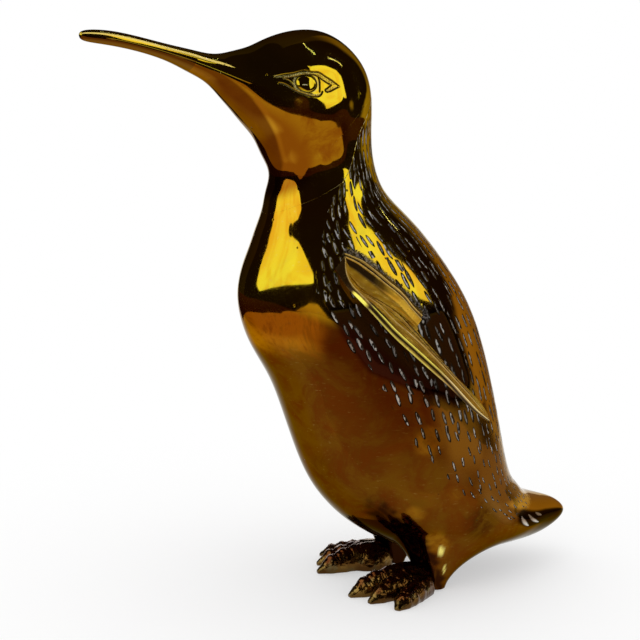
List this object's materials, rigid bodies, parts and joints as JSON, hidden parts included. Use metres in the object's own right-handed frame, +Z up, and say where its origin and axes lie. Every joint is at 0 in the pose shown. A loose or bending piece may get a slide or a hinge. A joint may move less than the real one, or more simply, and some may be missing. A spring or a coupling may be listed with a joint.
{
  "type": "penguin figurine",
  "caption": "Hollow cast brass penguin standing on separate webbed feet, with a slender bill, short raised wings, a wedge tail and a smooth polished body.",
  "frame": {"origin": "on the ground, under the middle of the object's bounding box", "axes": "+Z up, -Y the way the bird's body faces, +X its left side"},
  "size_m": [0.1496, 0.287, 0.3042],
  "materials": {
    "polished_brass": "polished, with a thin warm patina",
    "dark_brass": "darkened as cast, rubbed bright on the ridges",
    "screw_brass": "turned"
  },
  "bodies": {
    "root": {"body_shell_left": "polished_brass", "body_shell_right": "polished_brass", "bill": "polished_brass", "wing_left": "polished_brass", "wing_right": "polished_brass", "foot_left": "dark_brass", "foot_right": "dark_brass", "foot_screw_left": "screw_brass", "foot_screw_right": "screw_brass"}
  },
  "joints": []
}
